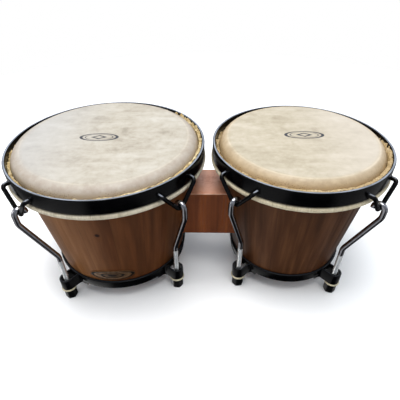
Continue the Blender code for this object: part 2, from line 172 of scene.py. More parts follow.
class Nodes:
    """Adds nodes to a tree. Each input takes a value or another node's socket."""

    def __init__(self, tree):
        self.tree = tree

    def feed(self, socket, value):
        if isinstance(value, bpy.types.NodeSocket):
            self.tree.links.new(value, socket)
        else:
            socket.default_value = value

    def add(self, kind, inputs=None, **properties):
        node = self.tree.nodes.new(kind)
        for key, value in properties.items():
            setattr(node, key, value)
        for socket, value in (inputs or {}).items():
            self.feed(node.inputs[socket], value)
        return node

    def parts(self, vector):
        return self.add("ShaderNodeSeparateXYZ", {"Vector": vector}).outputs

    def mix(self, factor, first, second, blend="MIX"):
        inputs = {0: factor, 6: first, 7: second}
        return self.add("ShaderNodeMix", inputs, data_type="RGBA", blend_type=blend).outputs[2]

    def ramp(self, factor, *stops):
        """Colour ramp through stops of (position, RGBA)."""
        node = self.add("ShaderNodeValToRGB", {"Fac": factor})
        elements = node.color_ramp.elements
        while len(elements) < len(stops):
            elements.new(1.0)
        for element, (position, rgba) in zip(elements, stops):
            element.position = position
            element.color = rgba
        return node.outputs["Color"]


class Finish(Nodes):
    """A procedural material, built node by node around one Principled shader."""

    def __init__(self, name, **settings):
        self.material = bpy.data.materials.new(name)
        self.material.use_nodes = True
        super().__init__(self.material.node_tree)
        self.shader = self.tree.nodes["Principled BSDF"]
        for socket, value in settings.items():
            self.shader.inputs[socket.replace("_", " ")].default_value = value
        coordinates = self.add("ShaderNodeTexCoord").outputs
        self.place = coordinates["Object"]
        self.normal = coordinates["Normal"]
        self.x, self.y, self.z = self.parts(self.place)

    def math(self, operation, *values):
        return self.add("ShaderNodeMath", dict(enumerate(values)), operation=operation).outputs[0]

    def plus(self, first, second):
        return self.math("ADD", first, second)

    def minus(self, first, second):
        return self.math("SUBTRACT", first, second)

    def times(self, first, second):
        return self.math("MULTIPLY", first, second)

    def apart(self, first, second):
        return self.math("ABSOLUTE", self.minus(first, second))

    def length(self, first, second):
        return self.math("SQRT", self.plus(self.times(first, first), self.times(second, second)))

    def total(self, *parts):
        """Sum of parts of (value, weight)."""
        summed = self.times(*parts[0])
        for part in parts[1:]:
            summed = self.plus(summed, self.times(*part))
        return summed

    def vector(self, x, y, z):
        return self.add("ShaderNodeCombineXYZ", {"X": x, "Y": y, "Z": z}).outputs[0]

    def stretch(self, x, y, z):
        """The object's own coordinates, scaled along each axis."""
        return self.add("ShaderNodeMapping", {"Vector": self.place, "Scale": (x, y, z)}).outputs[0]

    def noise(self, vector, scale=1.0, detail=4.0, roughness=0.5, distortion=0.0):
        inputs = {"Vector": vector, "Scale": scale, "Detail": detail, "Roughness": roughness,
                  "Distortion": distortion}
        return self.add("ShaderNodeTexNoise", inputs).outputs["Fac"]

    def span(self, value, low, high, to_low=0.0, to_high=1.0):
        """Value mapped smoothly from low..high to to_low..to_high, and held beyond them."""
        inputs = {"Value": value, "From Min": low, "From Max": high, "To Min": to_low, "To Max": to_high}
        return self.add("ShaderNodeMapRange", inputs, interpolation_type="SMOOTHSTEP").outputs[0]

    def dots(self, scale, reach):
        """Scattered dots: 1 at each middle, and 0 beyond reach."""
        inputs = {"Vector": self.place, "Scale": scale}
        distance = self.add("ShaderNodeTexVoronoi", inputs).outputs["Distance"]
        return self.span(distance, 0.16, reach, 1.0, 0.0)

    def shades(self, factor, *stops):
        """Colour ramp through stops of (position, hexadecimal colour)."""
        return self.ramp(factor, *((position, colour(shade)) for position, shade in stops))

    def tint(self, base, shade, mask, strength=None):
        """The base colour turned to a shade where the mask is 1, as far as strength."""
        factor = mask if strength is None else self.times(mask, strength)
        return self.mix(factor, base, colour(shade))

    def radius(self, centre_x=0.0, centre_y=0.0, scale_x=1.0, scale_y=1.0):
        """Distance from a point in plan, with each axis scaled."""
        across = self.times(self.minus(self.x, centre_x), scale_x)
        along = self.times(self.minus(self.y, centre_y), scale_y)
        return self.length(across, along)

    def finish(self, base, roughness=None, heights=()):
        """Connect the colour, the roughness and a chain of (height, strength, distance) bumps."""
        self.feed(self.shader.inputs["Base Color"], base)
        if roughness is not None:
            self.feed(self.shader.inputs["Roughness"], roughness)
        chain = {}
        for height, strength, distance in heights:
            inputs = {"Height": height, "Strength": strength, "Distance": distance, **chain}
            chain = {"Normal": self.add("ShaderNodeBump", inputs).outputs[0]}
        for socket, normal in chain.items():
            self.feed(self.shader.inputs[socket], normal)
        return self.material


def stave_wood(name, light, dark, staves, seed, painted_lit_side, spread, knot=None):
    """Clear-coated staves: each its own tone, with fine fibres and long streaks up the drum.

    light and dark are ramps of three colours, a lit and a shaded copy of the wood: the side at the angle
    painted_lit_side is painted lit and the side away from it shaded. A wide spread makes the figure faint.
    """
    mat = Finish(name, Specular_IOR_Level=0.10, Coat_Weight=0.02, Coat_Roughness=0.25)
    girth = 90.0
    angle = mat.math("ARCTAN2", mat.y, mat.x)
    turn = mat.times(angle, staves / (2 * math.pi))
    index = mat.math("FLOOR", turn)
    within = mat.math("FRACT", turn)
    edge = mat.math("MINIMUM", within, mat.minus(1.0, within))
    tone = mat.add("ShaderNodeTexWhiteNoise", {"W": mat.plus(index, seed)},
                    noise_dimensions="1D").outputs["Value"]
    around = mat.times(angle, girth)
    up = mat.times(mat.z, MILLIMETRES)
    if knot:
        knot_around = mat.minus(around, girth * knot[0])
        knot_distance = mat.length(knot_around, mat.minus(up, MILLIMETRES * knot[1]))
        swirl = mat.times(knot_around, mat.span(knot_distance, 0.0, 9.0, -0.45, 0.0))
        around = mat.plus(around, swirl)
    shift = mat.times(index, 17.3)

    def grain(across, along, **settings):
        place = mat.vector(mat.times(around, across), shift, mat.times(up, along))
        return mat.noise(place, **settings)

    broad = grain(0.085, 0.010, detail=3.0)
    streaks = grain(0.26, 0.012, detail=6.0, roughness=0.62, distortion=0.4)
    fibres = grain(3.2, 0.07, detail=5.0, roughness=0.65)
    figure = mat.total((streaks, 0.30), (fibres, 0.10), (broad, 0.62))
    stops = (0.50 - spread, 0.50, 0.50 + spread)
    painted_lit_wood = mat.shades(figure, *zip(stops, light))
    painted_shaded_wood = mat.shades(figure, *zip(stops, dark))
    # Painted light and shade: staves turned towards painted_lit_side take the lit ramp and those turned away
    # the shaded one, shifted by each stave's own tone.
    painted_light_facing = mat.math("COSINE", mat.minus(angle, painted_lit_side))
    shade = mat.plus(mat.span(painted_light_facing, 0.15, 1.0), mat.times(mat.minus(tone, 0.5), 0.55))
    base = mat.mix(mat.span(shade, 0.0, 1.0), painted_shaded_wood, painted_lit_wood)
    base = mat.tint(base, "2a140a", mat.span(grain(2.2, 0.22, detail=2.0), 0.60, 0.72), 0.16)
    seam = mat.span(edge, 0.002, 0.011, 1.0, 0.0)
    base = mat.tint(base, "1a0c06", seam, 0.38)
    if knot:
        base = mat.tint(base, "1c0a06", mat.span(knot_distance, 1.3, 3.3, 1.0, 0.0))
    roughness = mat.span(figure, 0.3, 0.7, 0.56, 0.40)
    return mat.finish(base, roughness, [(fibres, 0.25, 0.0003), (seam, -0.35, 0.0002)])


def bare_wood(name, low, middle, high):
    """Unfinished inside of a shell, with dull grain up the drum."""
    mat = Finish(name, Specular_IOR_Level=0.25)
    angle = mat.math("ARCTAN2", mat.y, mat.x)
    index = mat.math("FLOOR", mat.times(angle, 9 / math.pi))
    place = mat.vector(mat.times(angle, 60.0), mat.times(index, 11.1), mat.times(mat.z, 26.0))
    grain = mat.noise(place, detail=6.0, roughness=0.6)
    base = mat.shades(grain, (0.30, low), (0.52, middle), (0.72, high))
    return mat.finish(base, mat.span(grain, 0.3, 0.7, 0.85, 0.68), [(grain, 0.5, 0.0006)])


def block_wood(name):
    """Clear-coated reddish block: upright grain on the long faces, a top painted paler as lit from above, and
    a painted highlight along its top edges.
    """
    mat = Finish(name, Specular_IOR_Level=0.22, Coat_Weight=0.14, Coat_Roughness=0.12)
    streaks = mat.noise(mat.stretch(210.0, 210.0, 9.0), detail=6.0, roughness=0.6, distortion=0.6)
    fibres = mat.noise(mat.stretch(1500.0, 1500.0, 60.0), detail=4.0, roughness=0.7)
    bands = mat.noise(mat.stretch(36.0, 36.0, 3.0), detail=2.0)
    figure = mat.total((streaks, 0.5), (fibres, 0.2), (bands, 0.3))
    base = mat.shades(figure, (0.32, "51270f"), (0.5, "6e3819"), (0.68, "8b4d27"))
    # Painted light: faces turned up take a paler copy of the wood, as lit from above.
    upward = mat.parts(mat.normal)["Z"]
    pale = mat.shades(figure, (0.32, "bb7152"), (0.5, "d79575"), (0.68, "e6ae93"))
    base = mat.mix(mat.span(upward, 0.25, 0.95), base, pale)
    # Painted highlight: a pale band on the rounded top edges, where they turn from the top to the sides.
    base = mat.tint(base, "e0b196", mat.span(mat.apart(upward, 0.72), 0.10, 0.26, 1.0, 0.0), 0.8)
    return mat.finish(base, mat.span(figure, 0.3, 0.7, 0.36, 0.24), [(fibres, 0.18, 0.0003)])


def rawhide(name, drum, shades, painted_cool_side, shoulder, edge, softness, painted_crease_highlight, print_centre):
    """Drum head: mottled skin with faint streaks, a darker shoulder, and a plain printed oval.

    painted_cool_side is the paler shade that one side turns to as painted light from that side, and the X
    distances where it starts and ends.
    """
    mat = Finish(name, Specular_IOR_Level=0.35, Coat_Weight=0.06, Coat_Roughness=0.35)
    distance = mat.radius()
    streaks = mat.noise(mat.stretch(16.0, 120.0, 60.0), detail=6.0, roughness=0.6, distortion=0.5)
    patches = mat.noise(mat.stretch(30.0, 44.0, 36.0), detail=6.0, roughness=0.60, distortion=0.5)
    mottle = mat.noise(mat.place, scale=150.0, detail=6.0, roughness=0.62)
    pores = mat.noise(mat.place, scale=1500.0, detail=3.0, roughness=0.6)
    figure = mat.total((patches, 0.54), (streaks, 0.20), (mottle, 0.26))
    base = mat.shades(figure, *zip((0.36, 0.46, 0.54, 0.66), shades))
    # Painted light: one side of the head turns a paler, cooler shade, as lit by a side lamp.
    base = mat.tint(base, painted_cool_side[0], mat.span(mat.x, painted_cool_side[1], painted_cool_side[2], 0.0, 0.6))
    flat = drum["head_flat"]
    tan = mat.shades(mottle, (0.32, shoulder[0]), (0.66, shoulder[1]))
    base = mat.mix(mat.span(distance, flat - softness, flat + softness * 1.4), base, tan)
    # Painted highlight: a pale band along the edge of the flat face, where the skin bends into the shoulder;
    # patches vary its strength.
    line = mat.span(mat.apart(distance, flat), 0.0, 0.0016, painted_crease_highlight, 0.0)
    base = mat.tint(base, "e6dcc4", line, mat.span(patches, 0.35, 0.60))
    low = mat.span(mat.z, HEAD_TOP - 0.0075, HEAD_TOP - 0.0025, 1.0, 0.0)
    base = mat.tint(base, edge, low, mat.span(mottle, 0.3, 0.7, 0.30, 0.75))
    pits = mat.times(mat.dots(620.0, 0.40), mat.times(low, mat.span(patches, 0.42, 0.55)))
    base = mat.tint(base, "54391a", pits, 0.70)

    x0, y0 = print_centre
    oval = mat.radius(x0, y0, 1 / PRINT_HALF_WIDTH, 1 / PRINT_HALF_DEPTH)
    outer_line = mat.span(mat.apart(oval, 1.0), 0.060, 0.105, 1.0, 0.0)
    inner_line = mat.span(mat.apart(oval, 0.76), 0.020, 0.050, 0.8, 0.0)
    across = mat.math("ABSOLUTE", mat.times(mat.minus(mat.x, x0), 1 / LOZENGE_HALF_WIDTH))
    along = mat.math("ABSOLUTE", mat.times(mat.minus(mat.y, y0), 1 / LOZENGE_HALF_DEPTH))
    lozenge = mat.span(mat.apart(mat.plus(across, along), 0.85), 0.16, 0.30, 1.0, 0.0)
    lines = mat.math("MAXIMUM", mat.math("MAXIMUM", outer_line, inner_line), lozenge)
    on_top = mat.span(mat.z, HEAD_TOP - 0.0010, HEAD_TOP - 0.0006)
    wear_and_painted_highlight = mat.span(mottle, 0.30, 0.48, 0.60, 1.0)
    base = mat.tint(base, "23252f", mat.times(lines, on_top), wear_and_painted_highlight)
    roughness = mat.span(figure, 0.3, 0.7, 0.62, 0.46)
    return mat.finish(base, roughness, [(mottle, 0.22, 0.0004), (pores, 0.18, 0.0002), (pits, -0.5, 0.0004)])


def wrapped_hide(name, shades, crease, pores):
    """Skin pulled around a hoop or folded up inside a rim: mottled, creased, with dark pores."""
    mat = Finish(name, Specular_IOR_Level=0.3, Coat_Weight=0.05, Coat_Roughness=0.35)
    around = mat.times(mat.math("ARCTAN2", mat.y, mat.x), 100.0)
    place = mat.vector(around, mat.times(mat.z, 90.0), mat.radius(scale_x=40.0, scale_y=40.0))
    folds = mat.noise(place, scale=0.9, detail=5.0, roughness=0.65)
    mottle = mat.noise(mat.place, scale=130.0, detail=5.0, roughness=0.6)
    figure = mat.total((folds, 0.5), (mottle, 0.5))
    base = mat.shades(figure, *zip((0.32, 0.48, 0.66), shades))
    base = mat.tint(base, crease, mat.span(folds, 0.28, 0.40, 1.0, 0.0), 0.35)
    pits = mat.times(mat.dots(560.0, 0.42), mat.span(mottle, 0.40, 0.58))
    base = mat.tint(base, crease, pits, pores)
    # Painted shadow: the skin darkens in a thin band just below the rim's lower edge.
    painted_rim_shadow = mat.times(mat.span(mat.z, RIM_BASE - 0.0022, RIM_BASE - 0.0004),
                           mat.span(mat.z, RIM_BASE, RIM_BASE + 0.0006, 1.0, 0.0))
    base = mat.tint(base, "2a2117", painted_rim_shadow, 0.85)
    return mat.finish(base, mat.span(figure, 0.3, 0.7, 0.62, 0.44),
                       [(folds, 0.55, 0.0006), (mottle, 0.25, 0.0004), (pits, -0.5, 0.0004)])


def black_paint(name, low, high, wear_and_painted_highlight):
    """Gloss black powder coat: faint orange peel, smudges and dust, and a painted grey highlight on its
    up-turned top edges.
    """
    mat = Finish(name, Specular_IOR_Level=0.13)
    smudge = mat.noise(mat.place, scale=45.0, detail=5.0, roughness=0.6)
    peel = mat.noise(mat.place, scale=900.0, detail=2.0)
    dust = mat.span(mat.noise(mat.place, scale=2600.0, detail=1.0), 0.70, 0.78)
    base = mat.shades(smudge, (0.35, low), (0.65, high))
    base = mat.tint(base, "4a4a4c", dust, 0.20)
    # Painted highlight: surfaces turned up, such as the rims' top edges, take a pale grey-blue in place of
    # the lamps' reflection; smudges vary it.
    painted_light_facing = mat.span(mat.parts(mat.normal)["Z"], 0.86, 0.98)
    top = mat.times(painted_light_facing, mat.span(smudge, 0.25, 0.60, 0.55, 1.0))
    base = mat.tint(base, "b0b7c4", top, wear_and_painted_highlight)
    return mat.finish(base, mat.span(smudge, 0.3, 0.7, 0.12, 0.24), [(peel, 0.06, 0.0002)])


def plated(name, shades, gloss, metallic, spotting=0.30, scale=220.0):
    """Plated steel with faint cloudiness, fine scratches and small dull spots."""
    mat = Finish(name, Metallic=metallic)
    cloud = mat.noise(mat.place, scale=scale, detail=5.0, roughness=0.6)
    scratch = mat.noise(mat.stretch(300.0, 300.0, 2600.0), detail=3.0, roughness=0.6)
    spots = mat.span(mat.noise(mat.place, scale=900.0, detail=2.0), 0.66, 0.76)
    base = mat.shades(cloud, (0.34, shades[0]), (0.66, shades[1]))
    base = mat.tint(base, "3b3834", spots, spotting)
    dull = mat.plus(mat.span(cloud, 0.3, 0.7, *gloss), mat.times(spots, 0.18))
    return mat.finish(base, dull, [(scratch, 0.05, 0.0001), (spots, -0.10, 0.0001)])


def badge_metal(name):
    """Brown bronze plate whose raised border and ovals are blackened."""
    mat = Finish(name, Metallic=0.35, Specular_IOR_Level=0.3)
    cloud = mat.noise(mat.place, scale=260.0, detail=5.0, roughness=0.62)
    drum = DRUMS["large"]
    slope = (drum["shell_mouth"] - drum["shell_foot"]) / (SHELL_TOP - SHOULDER_DROP - RING_BASE)
    wall = mat.plus(mat.times(mat.z, slope), drum["shell_foot"] - RING_BASE * slope)
    raised = mat.span(mat.minus(mat.radius(), wall), 0.00080, 0.00130)
    field = mat.shades(cloud, (0.35, "7a583a"), (0.65, "ab8560"))
    blackened = mat.shades(cloud, (0.35, "0c0908"), (0.65, "1a1411"))
    base = mat.mix(raised, field, blackened)
    return mat.finish(base, mat.span(cloud, 0.3, 0.7, 0.48, 0.30), [(cloud, 0.25, 0.0002)])


# ---------------------------------------------------------------- shapes

def to_mesh(name, shape, finishes, smooth_angle=38):
    """Turn a bmesh into a mesh with outward normals, smooth round faces and its materials."""
    bmesh.ops.recalc_face_normals(shape, faces=shape.faces)
    mesh = bpy.data.meshes.new(name)
    shape.to_mesh(mesh)
    shape.free()
    mesh.shade_smooth()
    mesh.set_sharp_from_angle(angle=math.radians(smooth_angle))
    for finish in finishes:
        mesh.materials.append(finish)
    return mesh


def turns(count):
    """Angles of a full turn in equal steps."""
    return [2 * math.pi * step / count for step in range(count)]


def whole_degrees(start, stop, step):
    """Angles from start up to stop, in whole degrees, as radians."""
    return [math.radians(degrees) for degrees in range(start, stop, step)]


def polar(radius, angle, height=0):
    """Coordinates of a point at a distance and an angle about Z."""
    return radius * math.cos(angle), radius * math.sin(angle), height


def bridge(shape, rings, finish_at=None):
    """Join each ring of points to the next, leaving out faces that close up on the axis.

    finish_at(index) is the material index of the strip that follows a ring.
    """
    for index, (ring, following) in enumerate(zip(rings, rings[1:])):
        for step in range(len(ring)):
            after = (step + 1) % len(ring)
            corners = dict.fromkeys([ring[step], ring[after], following[after], following[step]])
            if len(corners) > 2:
                face = shape.faces.new(list(corners))
                face.material_index = finish_at(index) if finish_at else 0


def loft(shape, rings):
    """Join rings of points into a solid with a cap at each end."""
    bridge(shape, rings)
    shape.faces.new(rings[0])
    shape.faces.new(rings[-1])


def lathe(shape, profile, segments, move=None, finish_at=None):
    """Turn a closed profile of (radius, height) about Z.

    move(radius, height, angle) gives the point's own radius and height, and finish_at(index)
    the material index of the strip that follows a profile point.
    """
    rings = []
    for radius, height in profile:
        if radius == 0:
            rings.append([shape.verts.new((0, 0, height))] * segments)
            continue
        ring = []
        for angle in turns(segments):
            here, level = move(radius, height, angle) if move else (radius, height)
            ring.append(shape.verts.new(polar(here, angle, level)))
        rings.append(ring)
    bridge(shape, rings + rings[:1], finish_at)


def rounded_outline(corners, radii, steps=4):
    """A closed outline of (x, y) corners with each corner rounded to its radius."""
    points = []
    count = len(corners)
    for index, (corner, radius) in enumerate(zip(corners, radii)):
        corner = Vector((*corner, 0))
        before = Vector((*corners[index - 1], 0))
        after = Vector((*corners[(index + 1) % count], 0))
        if radius == 0:
            points.append(corner)
            continue
        points += fillet(before, corner, after, radius, steps)
    return [(point.x, point.y) for point in points]


def fillet(before, corner, after, radius, steps):
    """Points of the arc that rounds a corner of a path."""
    inward = (before - corner).normalized()
    outward = (after - corner).normalized()
    half_angle = inward.angle(outward) / 2
    centre = corner + (inward + outward).normalized() * (radius / math.sin(half_angle))
    start = corner + inward * (radius / math.tan(half_angle)) - centre
    end = corner + outward * (radius / math.tan(half_angle)) - centre
    sweep = start.angle(end)
    points = []
    for step in range(steps + 1):
        share = step / steps
        from_start = start * math.sin((1 - share) * sweep) / math.sin(sweep)
        from_end = end * math.sin(share * sweep) / math.sin(sweep)
        points.append(centre + from_start + from_end)
    return points


def rounded_path(corners, radii, steps=8):
    """An open path through the corners, with its inner corners rounded."""
    corners = [Vector(corner) for corner in corners]
    points = [corners[0]]
    for before, corner, after, radius in zip(corners, corners[1:], corners[2:], radii):
        points += fillet(before, corner, after, radius, steps)
    points.append(corners[-1])
    return points


def directions(path):
    """Unit direction of a path at each of its points."""
    ends = zip([path[0]] + path[:-1], path[1:] + [path[-1]])
    return [(after - before).normalized() for before, after in ends]


def tube(shape, path, radius_at, sides):
    """Sweep a round section along the path. radius_at(index, angle) is its radius there."""
    rings = []
    side = None
    for index, (point, along) in enumerate(zip(path, directions(path))):
        if side is None:
            side = along.orthogonal().normalized()
        side = (side - along * side.dot(along)).normalized()
        across = along.cross(side)
        ring = []
        for angle in turns(sides):
            reach = radius_at(index, angle)
            ring.append(shape.verts.new(point + reach * (math.cos(angle) * side + math.sin(angle) * across)))
        rings.append(ring)
    loft(shape, rings)


def strap(shape, path, low, high, thickness):
    """Sweep an upright flat strap along a path in plan, with its long edges rounded."""
    half = thickness / 2
    corners = [(-half, low), (half, low), (half, high), (-half, high)]
    section = rounded_outline(corners, [0.0005] * 4, 3)
    rings = []
    for point, along in zip(path, directions(path)):
        across = Vector((along.y, -along.x, 0))
        rings.append([shape.verts.new(Vector((point.x, point.y, 0)) + across * side + Vector((0, 0, height)))
                      for side, height in section])
    loft(shape, rings)


def bead(shape, centre, size, spin, seed):
    """A lumpy weld bead around a point."""
    made = bmesh.ops.create_icosphere(shape, subdivisions=3, radius=1.0)
    for vert in made["verts"]:
        lump = 1 + 0.12 * noise.noise(vert.co * 1.8 + Vector((seed, 0, 0)))
        scaled = Vector([part * reach for part, reach in zip(vert.co, size)])
        vert.co = centre + spin @ scaled * lump


def shell_radius(drum, height):
    """Outer radius of a drum's tapered shell at a height."""
    share = (height - RING_BASE) / (SHELL_TOP - SHOULDER_DROP - RING_BASE)
    return drum["shell_foot"] + share * (drum["shell_mouth"] - drum["shell_foot"])


def put(name, data, location=(0, 0, 0), turn=(0, 0, 0)):
    """Put an object in the scene."""
    thing = bpy.data.objects.new(name, data)
    thing.location = location
    thing.rotation_euler = turn
    bpy.context.scene.collection.objects.link(thing)
    return thing


def add_piece(name, mesh, body, nodes, location, turn=(0, 0, 0)):
    """Put a piece in the scene, in place of CAD nodes, riding on a body."""
    piece = put(name, mesh, location, turn)
    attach(piece, body)
    if nodes:
        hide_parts(*nodes)


def shell_mesh(name, drum, finishes):
    """Tapered shell with a rounded bearing edge and a softened foot, open at both ends."""
    base = RING_BASE + GAP
    foot = shell_radius(drum, base)
    inside = drum["shell_mouth"] - SHELL_WALL
    profile = [(foot - 0.0011, base), (foot - 0.0003, base + 0.0003), (foot + 0.0001, base + 0.0012)]
    for step in range(1, 12):
        height = base + (SHELL_TOP - SHOULDER_DROP - base) * step / 12
        profile.append((shell_radius(drum, height), height))
    for angle in whole_degrees(90, 0, -15):
        profile.append((drum["head_flat"] + (drum["shell_mouth"] - drum["head_flat"]) * math.sin(angle),
                        SHELL_TOP - SHOULDER_DROP + SHOULDER_DROP * math.cos(angle)))
    outer = len(profile) - 1
    profile += [(inside + 0.0010, SHELL_TOP - 0.0004), (inside, SHELL_TOP - 0.0015),
                (inside, SHELL_TOP - SHOULDER_DROP), (foot - SHELL_WALL, base + 0.0008),
                (foot - SHELL_WALL + 0.0008, base)]
    shape = bmesh.new()
    lathe(shape, profile, 192, finish_at=lambda index: 0 if index < outer else 1)
    return to_mesh(name, shape, finishes)


def head_mesh(name, drum, finish):
    """Rawhide head: a nearly flat playing face, a shoulder, and a skirt down the shell.

    Its crisp is 0 for a soft rounded shoulder and 1 for a marked edge with a straighter slope.
    """
    flat = drum["head_flat"]
    side = drum["shell_mouth"] + GAP + HEAD_THICKNESS
    low = SHELL_TOP - SHOULDER_DROP
    profile = [(0, HEAD_TOP)] + [(flat * step / 22, HEAD_TOP) for step in range(1, 22)]
    for degrees in range(0, 91, 6):
        angle = math.radians(degrees)
        round_point = Vector((flat + (side - flat) * math.sin(angle),
                              low + (HEAD_TOP - low) * math.cos(angle)))
        share = degrees / 90
        slope_point = Vector((flat + (side - flat) * share ** 0.85,
                              HEAD_TOP - (HEAD_TOP - low) * share ** 1.35))
        point = round_point.lerp(slope_point, drum["crisp"] * 0.62)
        profile.append((point.x, point.y))
    profile += [(side, low - 0.004), (side, SKIRT_BASE + 0.0005), (side - 0.0005, SKIRT_BASE)]
    profile += [(side - HEAD_THICKNESS, SKIRT_BASE), (side - HEAD_THICKNESS, low)]
    profile += [(flat, HEAD_TOP - HEAD_THICKNESS), (0, HEAD_TOP - HEAD_THICKNESS)]

    def uneven(radius, height, angle):
        spot = Vector(polar(radius, angle))
        dip = 0.5 + 0.5 * noise.noise(spot * 22 + Vector((drum["x"] * 50, 0, 0)))
        return radius, height - 0.00030 * dip * min(radius / 0.02, 1)

    shape = bmesh.new()
    lathe(shape, profile, 192, uneven)
    return to_mesh(name, shape, [finish], 55)


def hoop_mesh(name, drum, finish):
    """Hoop with skin pulled around it: a slightly lumpy round ring."""
    middle = drum["hoop"] - HOOP_TUBE
    profile = [(middle + HOOP_TUBE * math.cos(angle), HOOP_MIDDLE + HOOP_TUBE * math.sin(angle))
               for angle in whole_degrees(0, 360, 18)]

    def lumpy(radius, height, angle):
        out = Vector((radius - middle, height - HOOP_MIDDLE))
        spot = Vector(polar(1, angle)) * 9
        dent = 0.5 + 0.5 * noise.noise(spot + Vector((0, 0, height * 300)))
        fold = max(0.0, noise.noise(spot * 4 + Vector((7, 0, height * 120))) - 0.25)
        out *= 0.94 - 0.07 * dent - 0.16 * fold
        return middle + out.x, HOOP_MIDDLE + out.y

    shape = bmesh.new()
    lathe(shape, profile, 288, lumpy)
    return to_mesh(name, shape, [finish], 80)


def collar_mesh(name, drum, finish):
    """Skin folded up between the head and the rim, with a bumpy top that is ragged in places.

    It stands highest at its high side and lowest opposite that, and its edge is most ragged at its
    ragged side and opposite it.
    """
    low = drum["trim_height"]
    outside = drum["rim"] - RIM_THICKNESS - GAP
    inside = drum["shell_mouth"] + GAP + HEAD_THICKNESS + 0.00035
    top = [(inside + (outside - inside) * step / 6, COLLAR_HIGH) for step in range(7)]
    profile = [(outside, COLLAR_BASE), (inside + 0.0014, COLLAR_BASE), (inside, COLLAR_TUCK)] + top

    def ragged(radius, height, angle):
        if height < COLLAR_HIGH:
            return radius, height
        share = (radius - inside) / (outside - inside)
        side = 0.5 + 0.5 * math.cos(angle - drum["trim_high_side"])
        near = 0.25 + 0.75 * math.cos(angle - drum["trim_ragged_side"]) ** 4
        spot = Vector(polar(radius, angle)) * 10
        bumps = 1.4 * noise.noise(spot * 13) + 1.1 * noise.noise(spot * 34 + Vector((3, 1, 0)))
        level = low + (COLLAR_HIGH - low) * side ** 2 * (3 - 2 * side)
        level += near * 0.0036 * bumps + 0.0004 * noise.noise(spot * 90) - 0.0014 * (1 - share) ** 2
        return radius, min(level, COLLAR_TOP)

    shape = bmesh.new()
    lathe(shape, profile, 640, ragged)
    return to_mesh(name, shape, [finish], 80)


def rim_mesh(name, drum, finish):
    """Steel band with rolled edges, and four round-rod loops welded to it."""
    outer, inner = drum["rim"], drum["rim"] - RIM_THICKNESS
    corners = [(outer, RIM_BASE), (outer, RIM_TOP), (inner, RIM_TOP), (inner, RIM_BASE)]
    shape = bmesh.new()
    lathe(shape, rounded_outline(corners, [0.0008, 0.0011, 0.0011, 0.0008], 5), 224)
    reach = drum["hoop"] + LOOP_CLEARANCE
    half = LOOP_HALF_WIDTH
    root = math.sqrt(outer ** 2 - half ** 2) - RIM_THICKNESS / 2
    corners = [(root, -half, LOOP_ENDS), (reach, -half, LOOP_ENDS), (reach, -LOOP_SEAT_HALF, LOOP_BOTTOM),
               (reach, LOOP_SEAT_HALF, LOOP_BOTTOM), (reach, half, LOOP_ENDS), (root, half, LOOP_ENDS)]
    path = rounded_path(corners, [0.0035, 0.0050, 0.0050, 0.0035], 9)
    for number, lug in enumerate(LUGS.values()):
        spin = Matrix.Rotation(lug + drum["loop_turn"], 3, "Z")
        tube(shape, [spin @ point for point in path], lambda index, angle: LOOP_ROD, 20)
        for side in (-1, 1):
            centre = spin @ Vector((root + 0.0016, side * half, LOOP_ENDS))
            lean = spin @ Matrix.Rotation(side * math.asin(half / outer), 3, "Z")
            bead(shape, centre, (0.0010, 0.0028, 0.0027), lean, number * 5 + side)
    return to_mesh(name, shape, [finish])


def rod_mesh(name, drum, finishes):
    """Hook rod: over a rim loop, in along the shell, then straight down with a rolled thread."""
    crook = LOOP_ROD + TUNING_ROD + GAP
    over = drum["hoop"] + LOOP_CLEARANCE
    twist = drum["ear_turn"] - drum["loop_turn"]
    reach = drum["shell_foot"] + RING_THICKNESS + GAP + ROD_OFFSET
    foot = reach * Vector(polar(1, twist))
    tip = Vector((over - crook, 0, LOOP_BOTTOM - HOOK_TIP_DROP))
    path = [tip, tip + Vector((0, 0, 0.0005))]
    path += [Vector((over + crook * math.cos(angle), 0, LOOP_BOTTOM + crook * math.sin(angle)))
             for angle in whole_degrees(180, 0, -12)]
    corners = [(over + crook, 0, LOOP_BOTTOM), (over + crook, 0, drum["shoulder_bend"]),
               (foot.x, foot.y, drum["ankle_bend"]), (foot.x, foot.y, THREAD_TOP - 0.002)]
    path += rounded_path(corners, [0.014, 0.016], 10)[:-1]
    smooth_rings = len(path)
    count = int((THREAD_TOP - ROD_END) / (THREAD_PITCH / 4))
    path += [Vector((foot.x, foot.y, THREAD_TOP + (ROD_END - THREAD_TOP) * step / count))
             for step in range(count + 1)]
    last = len(path) - 1

    def radius_at(index, angle):
        if index < smooth_rings:
            return TUNING_ROD * (0.80 if index == 0 else 1.0)
        turn = 2 * math.pi * path[index].z / THREAD_PITCH + angle
        groove = THREAD_DEPTH * (0.5 - 0.5 * math.cos(turn)) * min((index - smooth_rings) / 8, 1)
        return TUNING_ROD - groove - (0.0006 if index == last else 0.0)

    shape = bmesh.new()
    tube(shape, path, radius_at, 18)
    mesh = to_mesh(name, shape, finishes, 70)
    for polygon in mesh.polygons:
        polygon.material_index = 1 if polygon.center.z < THREAD_TOP + 0.001 else 0
    return mesh


